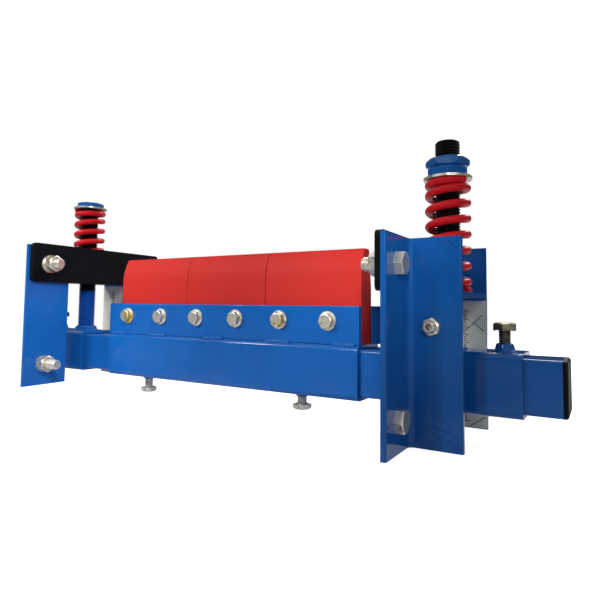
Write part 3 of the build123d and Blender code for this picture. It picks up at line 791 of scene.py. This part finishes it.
rod_nuts = {
    "tension_nut_left": ("nut_left", -1, 9, 25),
    "tension_nut_right": ("nut_right", 1, 12, 43),
    "jam_nut_right": ("nut_right", 1, 12, 14),
}
for node, (body, sign, height, turn) in rod_nuts.items():
    kind = chamfered_nut(f"{node}_shape", 15.1, 21.4, 26.6, height, 46, 0.7)
    nut = grow(f"{node}_turned", row_tree, body, "blue_paint", [(sign * rod_x, 0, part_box(node)[0].z)],
               Shape=kind, Aim=(0, 0, 0), Turn=radians(turn), Seed=1, Finish=blue_enamel)
    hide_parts(node)

# %% Put the lock nuts and grub screws in the frames
lock_nut = chamfered_nut("lock_nut", 6.3, 7.8, 10.4, 10, 18, 0.4)
for end, sign in ends.items():
    low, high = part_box(f"grub_lock_nut_{end}")
    nut = grow(f"lock_nut_{end}_turned", row_tree, f"frame_{end}", "zinc_fastener",
               [(sign * rod_x, high.y, (low.z + high.z) / 2)],
               Shape=lock_nut, Aim=(pi / 2, 0, 0), Turn=radians(18), Seed=1, Finish=clear_zinc)
    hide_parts(f"grub_lock_nut_{end}")

socket_radius, socket_depth, socket_flats = 4, 14, 7
grub_screw = turned("grub_screw", [(4.6, -40, 0), *thread_rows(6, -39, -1.2, 1.75, 0.7), (5.4, 0, 0),
                                   (socket_radius, 0, 1), (socket_radius, -socket_depth, 1)],
                    flats=socket_flats, face=10, edge=0.2)
for end, sign in ends.items():
    low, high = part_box(f"grub_screw_{end}")
    screw = grow(f"grub_screw_{end}_turned", row_tree, f"grub_{end}", "zinc_fastener",
                 [(sign * rod_x, low.y, (low.z + high.z) / 2)],
                 Shape=grub_screw, Aim=(pi / 2, 0, 0), Turn=0.0, Seed=1, Finish=clear_zinc)
    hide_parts(f"grub_screw_{end}")

# %% [markdown]
# ## Weld nuts
# The nuts that the set screws run in are welded on all round, and the weld has buried their corners,
# so what shows is a blunt cone with the nut's bore in it.

# %% Build up the weld nuts
tube_bottom = 35 * mm
bore = 7.1
tall_cone = turned("tall_cone", [(bore, 0, 0), (13.2, 0, 0), (12.0, 1.6, 0), (10.6, 3.6, 0), (10.0, 6.4, 0),
                                 (9.2, 8.4, 0), (8.4, 9, 0), (bore, 9, 0)], bored=True, edge=0.6)
low_cone = turned("low_cone", [(bore, 0, 0), (13.0, 0, 0), (11.4, 1.8, 0), (9.4, 3.6, 0), (8.4, 5.6, 0),
                               (7.8, 6.6, 0), (bore, 6.6, 0)], bored=True, edge=0.6)
under = [(x * mm, 0, tube_bottom) for x in holder_screw_x.values()]
cones = grow("holder_nut_cones", row_tree, "blade_holder", "blue_paint", under,
             Shape=low_cone, Aim=(pi, 0, 0), Seed=2, Finish=blue_enamel)
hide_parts("holder_weld_nuts")
for end in ends:
    x = set_screws[f"sleeve_set_screw_{end}"][1]
    cone = grow(f"sleeve_nut_cone_{end}", row_tree, f"carriage_{end}", "blue_paint", [(x * mm, 0, tube_top)],
                Shape=tall_cone, Aim=(0, 0, 0), Seed=2, Finish=blue_enamel)
    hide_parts(f"sleeve_weld_nut_{end}")

# %% [markdown]
# ## Weld beads
# The steelwork is arc welded. A bead is a row of overlapping puddles, so the tree puts small spheres
# along a line, close enough to leave only ripples, and varies their size a little. The centre of each
# sphere lies in or near the corner between the two pieces, so that only its outer part shows.

# %% The bead tree
t, ins, out = start_tree("weld bead", Throat="Float", Step="Float", Seed="Int", Finish="Material")
bead_tree = t
line = add(t, "GeometryNodeMeshToCurve", {0: ins["Geometry"]})
dots = add(t, "GeometryNodeResampleCurve", {"Curve": line, "Length": ins["Step"]}, mode="LENGTH")
puddle = add(t, "GeometryNodeMeshUVSphere", {"Segments": 14, "Rings": 8, "Radius": ins["Throat"]})
size = add(t, "FunctionNodeRandomValue", {2: 0.88, 3: 1.1, "Seed": ins["Seed"]}, data_type="FLOAT")
copies = add(t, "GeometryNodeInstanceOnPoints", {"Points": dots, "Instance": puddle,
                                                "Scale": size.outputs[1]})
close_tree(t, copies, ins["Finish"], out)
print("bead tree has", len(t.nodes), "nodes")


# %% Lay the beads of the blade holder
def stretches(lines):
    """Points and edges for separate straight lines."""
    points = [p for line in lines for p in line]
    return points, [(i, i + 1) for i in range(0, len(points), 2)]


def loop(centre, radius, parts=36):
    """Points and edges for a ring around a vertical axis."""
    x, y, z = centre
    angles = [2 * pi * i / parts for i in range(parts)]
    points = [(x + radius * cos(angle), y + radius * sin(angle), z) for angle in angles]
    return points, [(i, (i + 1) % parts) for i in range(parts)]


stitches = [(a * mm, b * mm) for a, b in ((-226, -200), (-138, -104), (-20, 14), (96, 130), (200, 228))]
points, edges = stretches([((a, y, tube_top), (b, y, tube_top)) for y in (bar_front, bar_rear)
                           for a, b in stitches])
grow("bar_stitch_welds", bead_tree, "blade_holder", "blue_paint", points, edges,
     Throat=3.2 * mm, Step=1.5 * mm, Seed=2, Finish=blue_enamel)
for end, x in holder_screw_x.items():
    points, edges = loop((x * mm, 0, tube_bottom), 12.4 * mm)
    grow(f"holder_nut_weld_{end}", bead_tree, "blade_holder", "blue_paint", points, edges,
         Throat=1.6 * mm, Step=1.4 * mm, Seed=5, Finish=blue_enamel)

# %% Lay the beads of the carriages and frames
collar_top = 111 * mm
seat_inner, seat_outer, seat_side = 312 * mm, 366 * mm, 63 * mm
for end, sign in ends.items():
    screw_x = abs(set_screws[f"sleeve_set_screw_{end}"][1]) * mm
    rings = (("collar_weld", rod_x, 19 * mm, tube_top, 2.4 * mm),
             ("rod_weld", rod_x, rod_radius, collar_top, 2.4 * mm),
             ("nut_weld", screw_x, 12.6 * mm, tube_top, 1.8 * mm))
    for name, x, radius, z, throat in rings:
        points, edges = loop((sign * x, 0, z), radius)
        grow(f"{name}_{end}", bead_tree, f"carriage_{end}", "blue_paint", points, edges,
             Throat=throat, Step=1.6 * mm, Seed=7, Finish=blue_enamel)
    seat_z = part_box(f"spring_seat_{end}")[0].z
    points, edges = stretches([((sign * seat_inner, y, seat_z), (sign * seat_outer, y, seat_z))
                               for y in (-seat_side, seat_side)])
    grow(f"seat_weld_{end}", bead_tree, f"frame_{end}", "blue_paint", points, edges,
         Throat=3.0 * mm, Step=1.5 * mm, Seed=9, Finish=blue_enamel)

# %% [markdown]
# ## Runs in the paint
# On the right near angle iron the enamel was put on too thick and sagged before it dried, close to the
# top and again close to the foot. The sags are low, short ridges, so the bead tree lays them too, with
# a very small throat.

# %% Let the paint run
run_face = -69.2 * mm
runs = [[(344, 231), (351, 227), (358, 222)], [(352, 231), (361, 226), (368, 220)],
        [(355, 218), (362, 214)], [(338, 27), (346, 23), (355, 22), (366, 17)],
        [(336, 20), (344, 16), (352, 16)], [(352, 13), (361, 10), (369, 6)], [(350, 31), (360, 28)]]
points, edges = [], []
for run in runs:
    edges += [(len(points) + i, len(points) + i + 1) for i in range(len(run) - 1)]
    points += [(x * mm, run_face, z * mm) for x, z in run]
grow("paint_runs_right", bead_tree, "frame_right", "blue_paint", points, edges,
     Throat=0.7 * mm, Step=0.9 * mm, Seed=6, Finish=blue_enamel)

# %% [markdown]
# ## Graduations on the scale plates
# A column of short printed lines up each plate shows how far the frame has risen. They are thin
# blocks in a row, 2.5 mm apart, with a longer one every 10 mm.

# %% The graduation tree
ticks_per_long = 4
longer_by = 0.7
t, ins, out = start_tree("graduations", Count="Int", Spacing="Float", Width="Float", Finish="Material")
tick_tree = t
up = add(t, "ShaderNodeCombineXYZ", {2: ins["Spacing"]})
column = add(t, "GeometryNodeMeshLine", {"Count": ins["Count"], "Offset": up})
number = add(t, "GeometryNodeInputIndex")
after_long = add(t, "ShaderNodeMath", {0: number, 1: ticks_per_long}, operation="MODULO")
is_long = add(t, "ShaderNodeMath", {0: after_long, 1: 0.5}, operation="LESS_THAN")
extra = add(t, "ShaderNodeMath", {0: is_long, 1: longer_by}, operation="MULTIPLY")
length = add(t, "ShaderNodeMath", {0: 1, 1: extra}, operation="ADD")
block_size = add(t, "ShaderNodeCombineXYZ", {0: ins["Width"], 1: 0.2 * mm, 2: 1.0 * mm})
block = add(t, "GeometryNodeMeshCube", {"Size": block_size})
scale = add(t, "ShaderNodeCombineXYZ", {0: length, 1: 1, 2: 1})
ticks = add(t, "GeometryNodeInstanceOnPoints", {"Points": column, "Instance": block, "Scale": scale})
copies = add(t, "GeometryNodeInstanceOnPoints", {"Points": ins["Geometry"], "Instance": ticks})
close_tree(t, copies, ins["Finish"], out, smooth=False)
print("graduation tree has", len(t.nodes), "nodes")

# %% Make the scale sheets and print them
sheet_inner, sheet_outer = 316.5 * mm, 371.5 * mm
tick_x = 342.5 * mm
tick_spacing = 2.5 * mm
tick_margin = 8 * mm
print_depth = 0.05 * mm
for end, sign in ends.items():
    low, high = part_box(f"scale_plate_{end}")
    inner, outer = sorted((sign * sheet_inner, sign * sheet_outer))
    shape = bmesh.new()
    bmesh.ops.create_cube(shape, size=1)
    for corner in shape.verts:
        corner.co = Vector((outer if corner.co.x > 0 else inner, high.y if corner.co.y > 0 else low.y,
                            high.z if corner.co.z > 0 else low.z))
    sheet = to_object(f"scale_sheet_{end}", shape, brushed)
    bevel(sheet, "sheared edges", 0.3 * mm, 2)
    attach(sheet, f"frame_{end}")
    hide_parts(f"scale_plate_{end}")
    count = int((high.z - low.z - 2 * tick_margin) / tick_spacing)
    grow(f"scale_graduations_{end}", tick_tree, f"frame_{end}", "black_plate",
         [(sign * tick_x, low.y - print_depth, low.z + tick_margin)],
         Count=count, Spacing=tick_spacing, Width=8 * mm, Finish=print_black)

# %% [markdown]
# The right scale plate also carries two crossed thin dark lines, and a third below. Each is a thin
# black strip from one point to another.

# %% Draw the dark lines
strokes = [((346.4, 125.2), (367.2, 145.1)), ((354.5, 135.2), (368.4, 124.7)), ((351, 3), (368.6, 15.2))]
half_stroke = 0.45
print_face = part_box("scale_plate_right")[0].y
strip_front = Vector((0, print_face - 3 * print_depth, 0))
strip_back = Vector((0, print_face + print_depth, 0))
strips = bmesh.new()
for (x0, z0), (x1, z1) in strokes:
    along = Vector((x1 - x0, 0, z1 - z0)).normalized()
    across = Vector((-along.z, 0, along.x)) * half_stroke
    corners = [Vector((x, 0, z)) + side * across
               for x, z, side in ((x0, z0, -1), (x0, z0, 1), (x1, z1, 1), (x1, z1, -1))]
    top = [strips.verts.new(corner * mm + strip_front) for corner in corners]
    foot = [strips.verts.new(corner * mm + strip_back) for corner in corners]
    strips.faces.new(top)
    strips.faces.new(foot[::-1])
    for i in range(4):
        j = (i + 1) % 4
        strips.faces.new((top[i], foot[i], foot[j], top[j]))
bmesh.ops.recalc_face_normals(strips, faces=strips.faces)
dark_lines = to_object("scale_diagram_right", strips, print_black)
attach(dark_lines, "frame_right")
print(len(strokes), "dark lines")

# %% [markdown]
# ## Floor, light and camera
# The studio is plain: a pale floor that fades into a white surrounding. Two spot lamps high on the
# left in front light the part. A third lights its left end, and a fourth, above the camera, the
# stretch beside the right frame. A weak soft lamp stands on the right and a large one behind. The
# camera sees floor and surrounding white. The part's mirroring faces see the surrounding dark near
# the horizon and bright overhead, and soft bright pools about 300 mm wide on the floor, as in a studio
# with dark walls. The camera stands low and close, near the right-hand end, which is what makes that
# end look so much taller.

# %% Lay the floor
floor_paint, tree, shader, place = start_finish("studio floor, matt white")
path_kind = add(tree, "ShaderNodeLightPath").outputs
pools = add(tree, "ShaderNodeTexNoise", {"Vector": place, "Scale": 3.4, "Detail": 0})
pooled = add(tree, "ShaderNodeMapRange", {"Value": pools, "From Min": 0.5, "From Max": 0.58, "To Max": 0.5})
in_mirrors = add(tree, "ShaderNodeMath", {0: path_kind["Is Glossy Ray"], 1: pooled}, operation="MULTIPLY")
glow = add(tree, "ShaderNodeMath", {0: path_kind["Is Camera Ray"], 1: 0.9, 2: in_mirrors},
           operation="MULTIPLY_ADD")
set_inputs(tree, shader, {
    "Base Color": colour("#E6E6E6"),
    "Roughness": 0.9,
    "Specular IOR Level": 0.0,
    "Emission Color": colour("#FFFFFF"),
    "Emission Strength": glow,
})
reach = 30.0
level = -0.5 * mm
mesh = bpy.data.meshes.new("studio_floor")
mesh.from_pydata([(-reach, -reach, level), (reach, -reach, level),
                  (reach, reach, level), (-reach, reach, level)], [], [(0, 1, 2, 3)])
mesh.materials.append(floor_paint)
floor = bpy.data.objects.new("studio_floor", mesh)
bpy.context.scene.collection.objects.link(floor)
print(floor.name, 2 * reach, "metres wide")

# %% Set the surrounding
ambient = 0.16
world = bpy.data.worlds.new("white surrounding")
world.use_nodes = True
bpy.context.scene.world = world
tree = world.node_tree
path_kind = add(tree, "ShaderNodeLightPath").outputs
heading = add(tree, "ShaderNodeSeparateXYZ", {0: add(tree, "ShaderNodeTexCoord").outputs["Generated"]})
overhead = add(tree, "ShaderNodeMapRange", {"Value": heading.outputs["Z"], "From Min": 0.22,
                                            "From Max": 0.62, "To Min": -0.13, "To Max": 1 - ambient})
in_mirrors = add(tree, "ShaderNodeMath", {0: path_kind["Is Glossy Ray"], 1: path_kind["Is Transmission Ray"]},
                 operation="MAXIMUM")
mirrored = add(tree, "ShaderNodeMath", {0: in_mirrors, 1: overhead}, operation="MULTIPLY")
shown = add(tree, "ShaderNodeMath", {0: path_kind["Is Camera Ray"], 1: 1 - ambient, 2: mirrored},
            operation="MULTIPLY_ADD")
strength = add(tree, "ShaderNodeMath", {0: shown, 1: ambient}, operation="ADD")
set_inputs(tree, tree.nodes["Background"], {"Color": colour("#FFFFFF"), "Strength": strength})
print("surrounding has", len(tree.nodes), "nodes")


# %% Hang the lamps
def lamp(name, place, target, width, power, beam=None):
    """A soft square lamp that looks at a point, or a spot lamp if it has a beam in degrees."""
    light = bpy.data.lights.new(name, "SPOT" if beam else "AREA")
    if beam:
        light.spot_size = radians(beam)
        light.spot_blend = 0.4
        light.shadow_soft_size = width / 2
    else:
        light.size = width
    light.energy = power
    item = bpy.data.objects.new(name, light)
    bpy.context.scene.collection.objects.link(item)
    item.location = place
    item.rotation_euler = (Vector(target) - Vector(place)).to_track_quat("-Z", "Y").to_euler()


lamp("key_lamp", (-0.55, -1.65, 1.2), (-0.07, -0.03, 0.15), 0.3, 74, beam=25)
lamp("side_lamp", (-1.2, -1.4, 1.2), (-0.14, -0.03, 0.15), 0.3, 58, beam=25)
lamp("near_lamp", (0.3, -0.45, 0.5), (-0.31, -0.1, 0.13), 0.25, 17, beam=30)
lamp("camera_lamp", (0.56, -0.75, 0.45), (0.235, -0.01, 0.19), 0.2, 24, beam=13)
lamp("fill_lamp", (1.5, -1.2, 0.5), (0.2, 0, 0.12), 0.6, 3)
lamp("back_lamp", (0.4, 1.4, 1.6), (0, 0, 0.12), 1.0, 26)
print(len(bpy.data.lights), "lamps")

# %% Set the camera
# The place, turn and lens were solved from edges of known length, so they are plain numbers here.
camera_data = bpy.data.cameras.new("camera")
camera = bpy.data.objects.new("camera", camera_data)
bpy.context.scene.collection.objects.link(camera)
bpy.context.scene.camera = camera
camera_place = (0.502442, -0.626224, 0.154083)
yaw, pitch, roll = radians(-30.689), radians(3.872), radians(0.627)
focal, centre_u, centre_v = 510.232, 301.05, 271.537
image_width, image_height = 597, 601
sensor_width = 36
ahead = Vector((sin(yaw) * cos(pitch), cos(yaw) * cos(pitch), sin(pitch)))
level_right = Vector((cos(yaw), -sin(yaw), 0))
level_up = level_right.cross(ahead)
right = level_right * cos(roll) + level_up * sin(roll)
up = -level_right * sin(roll) + level_up * cos(roll)
turn = Matrix((right, up, -ahead)).transposed()
camera.matrix_world = Matrix.Translation(camera_place) @ turn.to_4x4()
camera_data.sensor_fit = "HORIZONTAL"
camera_data.sensor_width = sensor_width
camera_data.lens = focal / image_width * sensor_width
camera_data.shift_x = (image_width / 2 - centre_u) / image_width
camera_data.shift_y = (centre_v - image_height / 2) / image_width
camera_data.clip_start = 0.02
bpy.context.scene.view_settings.view_transform = "Standard"
print("lens", round(camera_data.lens, 2), "mm")

# %% Clear the templates
for template in templates:
    bpy.data.objects.remove(template)
